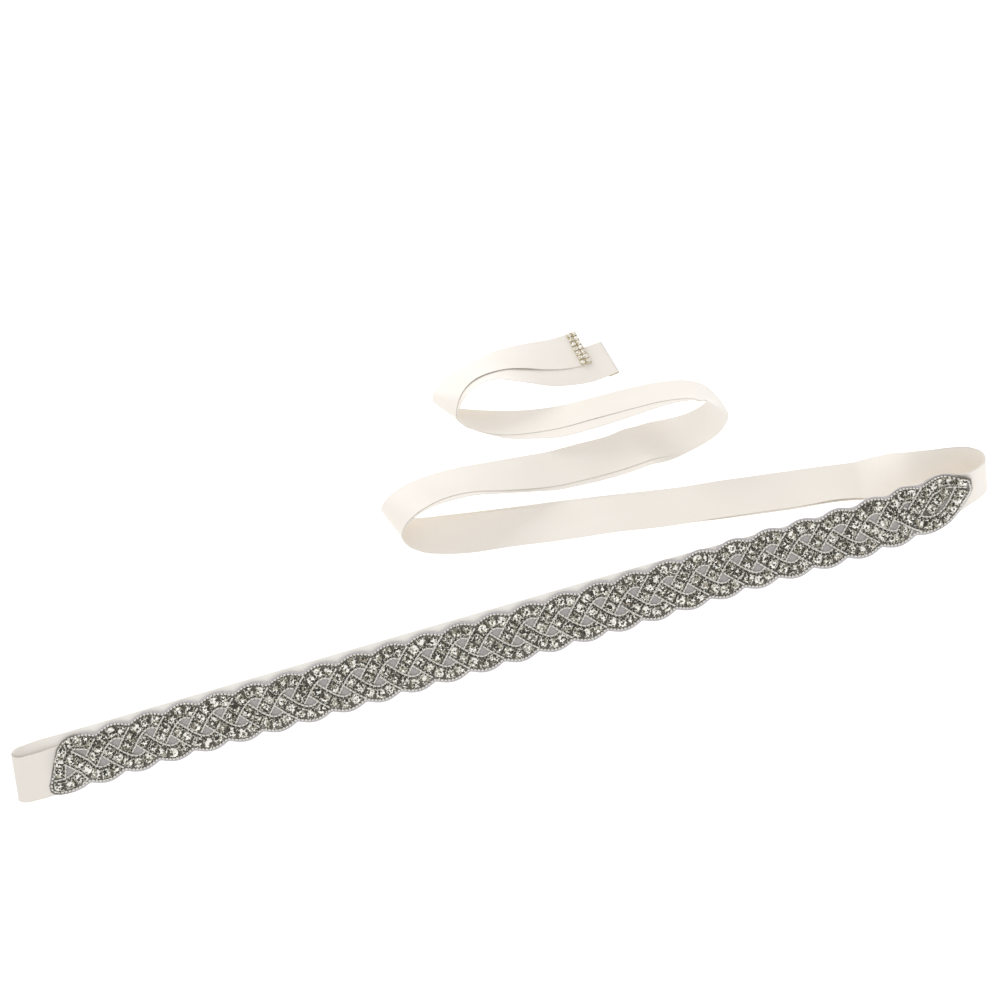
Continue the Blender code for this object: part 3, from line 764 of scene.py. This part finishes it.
def band_path(rows):
    """A band's middle line in even steps: columns along, across and over."""
    rows = np.array(rows)
    runs = runs_along(rows[:, :2])
    even = np.arange(0.0, runs[-1], PATH_STEP)
    path = np.array([np.interp(even, runs, column) for column in rows.T]).T
    # A running mean rounds off the corners of the table.
    padded = np.vstack((
        [path[0]] * (PATH_SOFTENING // 2), path, [path[-1]] * (PATH_SOFTENING // 2),
    ))
    weights = np.ones(PATH_SOFTENING) / PATH_SOFTENING
    return np.array([np.convolve(column, weights, mode="valid") for column in padded.T]).T


band_paths = [
    band_path(start + wave_rows(FIRST_UPPER_PEAK + band * SCALLOP_PITCH) + end)
    for band, (start, end) in enumerate(zip(BAND_STARTS, BAND_ENDS))
]
band_paths.append(band_path(LEAF_FILL))


def path_directions(path):
    """Unit vectors along a band's middle line."""
    steps = np.gradient(path[:, :2], axis=0)
    return steps / np.linalg.norm(steps, axis=1)[:, None]


def covered_at(band, points, overs, clearance):
    """Which points of a band lie under another band, within a clearance of its middle."""
    hidden = np.zeros(len(points), dtype=bool)
    for other, path in enumerate(band_paths):
        if other == band:
            continue
        over = path[path[:, 2] > LEAST_OVER]
        for i, point in enumerate(points):
            apart = np.hypot(over[:, 0] - point[0], over[:, 1] - point[1])
            if np.any((apart < clearance) & (over[:, 2] > overs[i])):
                hidden[i] = True
    return hidden


def inside_net(along, across, margin):
    """Whether a place is on the net, at least a margin from its edges."""
    if not margin * TIP_MARGIN < along < APPLIQUE_LENGTH - margin * TIP_MARGIN:
        return False
    return net_edge(along, -1) + margin < across < net_edge(along, 1) - margin


def surface_frame(along, across, rise, spin=0.0):
    """Where a stone or bead sits, and the axes along it, across it and out of it."""
    here = on_applique(along, across, rise)
    out = unit(on_applique(along, across, rise + 1.0) - here)
    ahead = unit(on_applique(along + 0.5, across, rise) - here)
    turned = ahead * math.cos(spin) + np.cross(out, ahead) * math.sin(spin)
    return here, np.array((turned, np.cross(out, turned), out))


def ring_points(radius, height, count, turn=0.0):
    """Points on a level circle."""
    angles = [2 * math.pi * (i + turn) / count for i in range(count)]
    return [(radius * math.cos(angle), radius * math.sin(angle), height) for angle in angles]


def ring_walls(rings, sides):
    """Faces between rings of points that stand one after another."""
    faces = []
    for ring in range(rings - 1):
        near, far = ring * sides, (ring + 1) * sides
        for i in range(sides):
            after = (i + 1) % sides
            faces.append((near + i, near + after, far + after, far + i))
    return faces


def stone_form(radius, height, facets):
    """A cut stone: table, two rows of facets, girdle and a short base.  Also gives
    the part that each face belongs to, because each part gets its own painted glint."""
    double = 2 * facets
    points = [(0.0, 0.0, height)]
    counts = (facets, facets, double, double)
    for (reach, rise, turn), count in zip(STONE_RINGS, counts):
        points += ring_points(reach * radius, rise * height, count, turn)
    table, star, girdle, base = 1, 1 + facets, 1 + 2 * facets, 1 + 4 * facets
    faces = [tuple(base + i for i in reversed(range(double)))]
    parts = [0]
    for i in range(facets):
        after = (i + 1) % facets
        low, middle, high = girdle + 2 * i, girdle + 2 * i + 1, girdle + (2 * i + 2) % double
        faces += [
            (0, table + i, table + after),
            (table + i, star + i, table + after),
            (table + i, low, star + i),
            (table + after, star + i, high),
            (star + i, low, middle),
            (star + i, middle, high),
        ]
        parts += [1 + i // 2, table + i, star + i, star + i, girdle + i, girdle + i]
    for i in range(double):
        after = (i + 1) % double
        faces.append((girdle + i, base + i, base + after, girdle + after))
        parts.append(girdle + i // 2)
    return np.array(points), faces, np.array(parts)


def cup_form(radius, wall, height, sides):
    """A setting's cup: a low wall, open at the top and drawn out at its four corners."""
    points = []
    foot = radius * CUP_FOOT
    for r, z in ((foot, 0.0), (radius + wall, 0.0), (radius + wall, height), (radius, height)):
        for x, y, level in ring_points(r, z, sides):
            corner = 1.0 + CUP_CORNER * (1.0 - math.cos(4.0 * math.atan2(y, x)))
            points.append((x * corner, y * corner, level))
    faces = [tuple(reversed(range(sides)))] + ring_walls(4, sides)
    bottom = len(points)
    points += ring_points(foot, height * CUP_FLOOR, sides)
    for i in range(sides):
        after = (i + 1) % sides
        faces.append((3 * sides + i, 3 * sides + after, bottom + after, bottom + i))
    faces.append(tuple(bottom + i for i in range(sides)))
    return np.array(points), faces, None


def bead_form(sides, rows):
    """A round bead of radius one."""
    points = [(0.0, 0.0, 1.0)]
    for j in range(1, rows):
        tilt = math.pi * j / rows
        points += [
            (x * math.sin(tilt), y * math.sin(tilt), math.cos(tilt))
            for x, y, _ in ring_points(1.0, 0.0, sides, 0.5 * (j % 2))
        ]
    points.append((0.0, 0.0, -1.0))
    last = len(points) - 1
    faces = []
    for i in range(sides):
        after = (i + 1) % sides
        faces.append((0, 1 + i, 1 + after))
        for j in range(rows - 2):
            near, far = 1 + j * sides, 1 + (j + 1) * sides
            faces.append((near + i, far + i, far + after, near + after))
        bottom = 1 + (rows - 2) * sides
        faces.append((last, bottom + after, bottom + i))
    return np.array(points), faces, None


def tube_form(sides):
    """A short tube bead along x, of half length and radius one, with rounded ends."""
    points = []
    for x, radius in ((-1.0, 0.45), (-0.78, 1.0), (0.78, 1.0), (1.0, 0.45)):
        points += [(x, y, z) for y, z, _ in ring_points(radius, 0.0, sides)]
    ends = [tuple(reversed(range(sides))), tuple(3 * sides + i for i in range(sides))]
    return np.array(points), ends + ring_walls(4, sides), None


def joined(name, form, spots, material):
    """One mesh of many copies of a form; each spot is (place, axes, size).  A form
    with parts is cut glass, and each of its parts gets a painted glint by chance."""
    points, faces, parts = form
    all_points = []
    all_faces = []
    for number, (here, axes, size) in enumerate(spots):
        moved = np.asarray(here) + (points * size) @ axes
        all_points.extend(place(point) for point in moved)
        start = number * len(points)
        all_faces.extend(tuple(start + i for i in face) for face in faces)
    mesh = bpy.data.meshes.new(name)
    mesh.from_pydata(all_points, [], all_faces)
    if parts is None:
        mesh.shade_smooth()
    else:
        shares = np.random.default_rng(PAINTED_GLINT_SEED).random((len(spots), parts.max() + 1))
        painted_glint = mesh.attributes.new("painted_glint", "FLOAT", "FACE")
        painted_glint.data.foreach_set("value", shares[:, parts].ravel())
    mesh.materials.append(material)
    piece = bpy.data.objects.new(name, mesh)
    bpy.context.scene.collection.objects.link(piece)
    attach(piece, root)
    return piece


def four_round(here, axes, reach, rise):
    """The four corners round a stone, at a reach from its middle and a rise above its place."""
    angles = [math.pi / 4 + quarter * math.pi / 2 for quarter in range(4)]
    return [
        here + (math.cos(angle) * axes[0] + math.sin(angle) * axes[1]) * reach + axes[2] * rise
        for angle in angles
    ]


def stone_places():
    """Every stone: along, across, over, and the direction of its band."""
    spots = []
    for band, path in enumerate(band_paths):
        directions = path_directions(path)
        hidden = covered_at(band, path, path[:, 2], STONE_CLEARANCE)
        open_net = np.array([inside_net(u, v, STONE_EDGE_MARGIN) for u, v, _ in path])
        shown = open_net & ~hidden
        edges = np.flatnonzero(np.diff(np.concatenate(([False], shown, [False])).astype(int)))
        for first, last in zip(edges[::2], edges[1::2]):
            length = (last - first) * PATH_STEP
            count = int(round(length / STONE_STEP))
            for i in range(count):
                at = first + int((i + 0.5) * (last - first) / count)
                spots.append((*path[at], directions[at]))
    return spots


def painted_glint_shader_group():
    """Painted glints on foiled glass: each facet is painted dark, grey or bright by chance."""
    group, entry, leave = effect_group(
        "stone_painted_glint", {"Dark": 0.05, "Middle": 0.4, "Bright": 0.95}, {}, ("Colour", "Roughness"),
    )
    link = group.links.new
    facet = node_after(group, "ShaderNodeAttribute", attribute_name="painted_glint").outputs["Fac"]
    grey = ranged(group, facet, 0.34, 0.42, interpolation_type="SMOOTHSTEP")
    light = ranged(group, facet, 0.62, 0.70, interpolation_type="SMOOTHSTEP")
    lower = blended(group, grey, entry.outputs["Dark"], entry.outputs["Middle"])
    link(blended(group, light, lower, entry.outputs["Bright"]), leave.inputs["Colour"])
    link(ranged(group, facet, 0.0, 1.0, 0.04, 0.16), leave.inputs["Roughness"])
    return group


def painted_glint_finish(name, dark, middle, bright, **values):
    """A foiled-stone finish whose facets carry painted glints."""
    material, shader = finish_named(name, middle[:3], 0.1, **values)
    tree = material.node_tree
    effect = node_after(tree, "ShaderNodeGroup", node_tree=painted_glint_group)
    effect.inputs["Dark"].default_value = dark
    effect.inputs["Middle"].default_value = middle
    effect.inputs["Bright"].default_value = bright
    tree.links.new(effect.outputs["Colour"], shader.inputs["Base Color"])
    tree.links.new(effect.outputs["Roughness"], shader.inputs["Roughness"])
    return material


# Each place of the net knows how near it lies to a band, for the painted shade among the stones.
band_middles = np.vstack([path[::4, :2] for path in band_paths])
painted_shade = applique_net.data.attributes.new("painted_shade", "FLOAT", "POINT")
for i, (along, across) in enumerate(spot for row in net_places for spot in row):
    apart = np.hypot(band_middles[:, 0] - along, band_middles[:, 1] - across).min()
    painted_shade.data[i].value = max(0.0, min(1.0, (PAINTED_SHADE_REACH - apart) / PAINTED_SHADE_FADE))

painted_glint_group = painted_glint_shader_group()
# Dark, grey and bright are painted glints, given to the facets by chance.
stone_finish = painted_glint_finish(
    "clear_rhinestone", (0.03, 0.025, 0.016, 1.0), (0.35, 0.32, 0.25, 1.0),
    (0.96, 0.95, 0.88, 1.0), Metallic=0.4, **{"Coat Weight": 0.3, "Coat Roughness": 0.05},
)
# The cups are silver painted darker than the claws: painted shade among the stones.
shaded_cup_finish, _ = finish_named("silver_setting_painted_shade", (0.40, 0.37, 0.31), 0.35, Metallic=0.8)
claw_finish, _ = finish_named("silver_claw", (0.80, 0.79, 0.72), 0.22, Metallic=0.8)
stones = stone_places()
stone_spots = []
cup_spots = []
claw_spots = []
for number, (along, across, over, direction) in enumerate(stones):
    spin = math.atan2(direction[1], direction[0]) + STONE_TWIST * (number % 3 - 1)
    rise = STONE_RISE + CROSSING_RISE * max(0.0, over)
    here, axes = surface_frame(along, across, rise, spin)
    stone_spots.append((here + axes[2] * STONE_SEAT, axes, 1.0))
    cup_spots.append((here, axes, 1.0))
    claws = four_round(here, axes, CLAW_REACH, CLAW_RISE)
    claw_spots += [(claw, axes, CLAW_RADIUS) for claw in claws]
rhinestones = joined(
    "rhinestones", stone_form(STONE_RADIUS, STONE_HEIGHT, STONE_FACETS), stone_spots,
    stone_finish,
)
stone_cups = joined(
    "stone_cups", cup_form(STONE_RADIUS * CUP_FIT, CUP_WALL, CUP_HEIGHT, CUP_SIDES),
    cup_spots, shaded_cup_finish,
)
small_bead = bead_form(BEAD_SIDES, BEAD_ROWS)
stone_claws = joined("stone_claws", small_bead, claw_spots, claw_finish)

# ---------------------------------------------------------------------------
# The seed beads: short silver-lined tube beads strung in a line along both
# sides of each band, and round ones along the rim and between the stones.
# ---------------------------------------------------------------------------
LINE_OFFSET = 3.85
LINE_BEAD = (1.08, 0.56, 0.56)
LINE_STEP = 2.2
RIM_BEAD = (0.90, 0.60, 0.58)
RIM_STEP = 1.95
RIM_INSET = 1.45
LINE_RISE = 0.55
LINE_CLEARANCE = 3.95
LINE_EDGE_MARGIN = 2.35
# Specks sit round each stone, at these turns from its band's direction.
SPECK_TURNS = (45, 70, 110, 135, 225, 250, 290, 315)
SPECK_REACH = 3.1
SPECK_RADIUS = 0.56
SPECK_RISE = 0.6
SPECK_EDGE_MARGIN = 1.95
SPECK_CLEARANCE = 2.9

seed_finish, seed_shader = finish_named(
    "silver_seed_bead", (0.70, 0.68, 0.62), 0.25, Metallic=0.2, **{"Coat Weight": 0.3},
)
grain = node_after(seed_finish.node_tree, "ShaderNodeTexNoise")
grain.inputs["Scale"].default_value = 700.0
grain_tone = node_after(seed_finish.node_tree, "ShaderNodeMapRange")
grain_tone.inputs["From Min"].default_value = 0.38
grain_tone.inputs["From Max"].default_value = 0.60
seed_tone = node_after(seed_finish.node_tree, "ShaderNodeMix", data_type="RGBA")
seed_tone.inputs[6].default_value = (0.52, 0.50, 0.44, 1.0)
seed_tone.inputs[7].default_value = (0.99, 0.97, 0.91, 1.0)
seed_links = seed_finish.node_tree.links
seed_links.new(grain.outputs["Fac"], grain_tone.inputs["Value"])
seed_links.new(grain_tone.outputs["Result"], seed_tone.inputs["Factor"])
seed_links.new(seed_tone.outputs[2], seed_shader.inputs["Base Color"])


def line_spots(band, side):
    """Beads along one side of a band, left out where another band covers it."""
    path = band_paths[band]
    directions = path_directions(path)
    aside = np.column_stack((-directions[:, 1], directions[:, 0]))
    beside = path[:, :2] + side * LINE_OFFSET * aside
    runs = runs_along(beside)
    even = np.arange(LINE_STEP / 2, runs[-1], LINE_STEP)
    u = np.interp(even, runs, beside[:, 0])
    v = np.interp(even, runs, beside[:, 1])
    over = np.interp(even, runs, path[:, 2])
    tilt = np.unwrap(np.arctan2(directions[:, 1], directions[:, 0]))
    spin = np.interp(even, runs, tilt)
    hidden = covered_at(band, np.column_stack((u, v)), over, LINE_CLEARANCE)
    spots = []
    for i in range(len(even)):
        if hidden[i] or not inside_net(u[i], v[i], LINE_EDGE_MARGIN):
            continue
        rise = LINE_RISE + CROSSING_RISE * max(0.0, over[i])
        here, axes = surface_frame(u[i], v[i], rise, spin[i])
        spots.append((here, axes, LINE_BEAD))
    return spots


tube_bead = tube_form(BEAD_SIDES)
# The specks are cut beads whose faces carry painted glints: bright, grey or dark.
cut_points, cut_faces, _ = small_bead
cut_bead = (cut_points, cut_faces, np.arange(len(cut_faces)) // 4)
speck_finish = painted_glint_finish(
    "cut_seed_bead", (0.07, 0.06, 0.045, 1.0), (0.33, 0.31, 0.26, 1.0),
    (0.88, 0.86, 0.79, 1.0), Metallic=0.35, **{"Coat Weight": 0.3},
)
for band in range(PLAIT_BANDS):
    spots = line_spots(band, 1) + line_spots(band, -1)
    seed_line = joined(f"seed_line_{band + 1}", tube_bead, spots, seed_finish)

rim_path = [(along, net_edge(along, 1)) for along in net_along]
rim_path += [(along, net_edge(along, -1)) for along in reversed(net_along)]
rim_path.append(rim_path[0])
rim_points = np.array(rim_path)
rim_ahead = np.gradient(rim_points, axis=0)
rim_ahead /= np.maximum(np.linalg.norm(rim_ahead, axis=1)[:, None], 1e-9)
# The rim runs clockwise, so its inner side is on the right hand.
rim_points = rim_points + RIM_INSET * np.column_stack((rim_ahead[:, 1], -rim_ahead[:, 0]))
rim_runs = runs_along(rim_points)
rim_spots = []
for reach in np.arange(0.0, rim_runs[-1], RIM_STEP):
    u = float(np.interp(reach, rim_runs, rim_points[:, 0]))
    v = float(np.interp(reach, rim_runs, rim_points[:, 1]))
    ahead_u = float(np.interp(reach, rim_runs, rim_ahead[:, 0]))
    ahead_v = float(np.interp(reach, rim_runs, rim_ahead[:, 1]))
    here, axes = surface_frame(u, v, LINE_RISE, math.atan2(ahead_v, ahead_u))
    rim_spots.append((here, axes, RIM_BEAD))
seed_rim = joined("seed_rim", small_bead, rim_spots, seed_finish)

speck_spots = []
stone_middles = np.array([(along, across) for along, across, _, _ in stones])
for along, across, over, direction in stones:
    for turn in np.radians(SPECK_TURNS):
        ahead, aside = SPECK_REACH * math.cos(turn), SPECK_REACH * math.sin(turn)
        u = along + ahead * direction[0] - aside * direction[1]
        v = across + ahead * direction[1] + aside * direction[0]
        apart = np.hypot(stone_middles[:, 0] - u, stone_middles[:, 1] - v).min()
        if apart > SPECK_CLEARANCE and inside_net(u, v, SPECK_EDGE_MARGIN):
            here, axes = surface_frame(u, v, SPECK_RISE + CROSSING_RISE * max(0.0, over), turn)
            speck_spots.append((here, axes, SPECK_RADIUS))
seed_specks = joined("seed_specks", cut_bead, speck_spots, speck_finish)

# ---------------------------------------------------------------------------
# The end trims: a narrow strip with two lines of small stones in gilt cups,
# sewn across each end of the ribbon on the face that carries the applique.
# ---------------------------------------------------------------------------
TRIM_LENGTH = 6.6
TRIM_LINES = 2
TRIM_STONES = 7
TRIM_STONE_RADIUS = 1.6
TRIM_ASIDE = {1: 0.45, 2: 0.0}
TRIM_STRIP_RISE = 0.7
TRIM_STRIP_THICKNESS = 0.35
TRIM_STEP = 0.8
TRIM_STONE_HEIGHT = 1.1
TRIM_STONE_FACETS = 6
TRIM_STONE_RISE = 0.9
TRIM_STONE_SEAT = 0.15
TRIM_CUP_REACH = 1.6
TRIM_CUP_RISE = 0.3
TRIM_CUP_RADIUS = 0.42
gilt_finish, _ = finish_named("gilt_setting", (0.62, 0.47, 0.24), 0.28, Metallic=0.95)
# The trim stones' facets carry painted glints too.
trim_stone_finish = painted_glint_finish(
    "trim_rhinestone", (0.46, 0.38, 0.22, 1.0), (0.86, 0.82, 0.70, 1.0),
    (0.99, 0.98, 0.94, 1.0), Metallic=0.2, **{"Coat Weight": 0.5, "Coat Roughness": 0.05},
)
strip_finish, strip_shader = finish_named("trim_strip", (0.70, 0.62, 0.47), 0.6)
use_group(
    strip_finish, strip_shader, tulle,
    {"Colour": (0.52, 0.43, 0.27, 1.0), "Hole": (0.80, 0.74, 0.62, 1.0)}, 0.0001,
)
for layer, node in ((1, "end_trim_lower"), (2, "end_trim_upper")):
    face = 1 if layer == 1 else -1
    end = route_length - (SECOND_LAYER_SHORTER if layer == 2 else 0.0)
    strip_along = spaced(end - TRIM_LENGTH, end, TRIM_STEP)
    strip_across = [
        across + TRIM_ASIDE[layer] for across in spaced(-HALF_WIDTH, HALF_WIDTH, 2 * TRIM_STEP)
    ]
    strip_rows = [
        [on_layer(layer, along, across, face * TRIM_STRIP_RISE) for across in strip_across]
        for along in strip_along
    ]
    strip, _ = sheet_mesh(node + "_strip", strip_rows, strip_across, TRIM_STRIP_THICKNESS)
    strip.data.materials.append(strip_finish)
    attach(strip, root)
    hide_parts(node)
    trim_stones = []
    trim_cups = []
    for line in range(TRIM_LINES):
        along = end - TRIM_LENGTH + TRIM_LENGTH * (line + 0.5) / TRIM_LINES
        for i in range(TRIM_STONES):
            across = RIBBON_WIDTH * ((i + 0.5) / TRIM_STONES - 0.5) + TRIM_ASIDE[layer]
            here = on_layer(layer, along, across, face * TRIM_STONE_RISE)
            out = unit(on_layer(layer, along, across, face * (TRIM_STONE_RISE + 1.0)) - here)
            ahead = unit(on_layer(layer, along + 0.5, across, face * TRIM_STONE_RISE) - here)
            ahead = unit(ahead - out * ahead.dot(out))
            axes = np.array((ahead, np.cross(out, ahead), out))
            trim_stones.append((here + out * TRIM_STONE_SEAT, axes, 1.0))
            cups = four_round(here, axes, TRIM_CUP_REACH, TRIM_CUP_RISE)
            trim_cups += [(cup, axes, TRIM_CUP_RADIUS) for cup in cups]
    stones_piece = joined(
        node + "_stones",
        stone_form(TRIM_STONE_RADIUS, TRIM_STONE_HEIGHT, TRIM_STONE_FACETS), trim_stones,
        trim_stone_finish,
    )
    cups_piece = joined(node + "_cups", small_bead, trim_cups, gilt_finish)
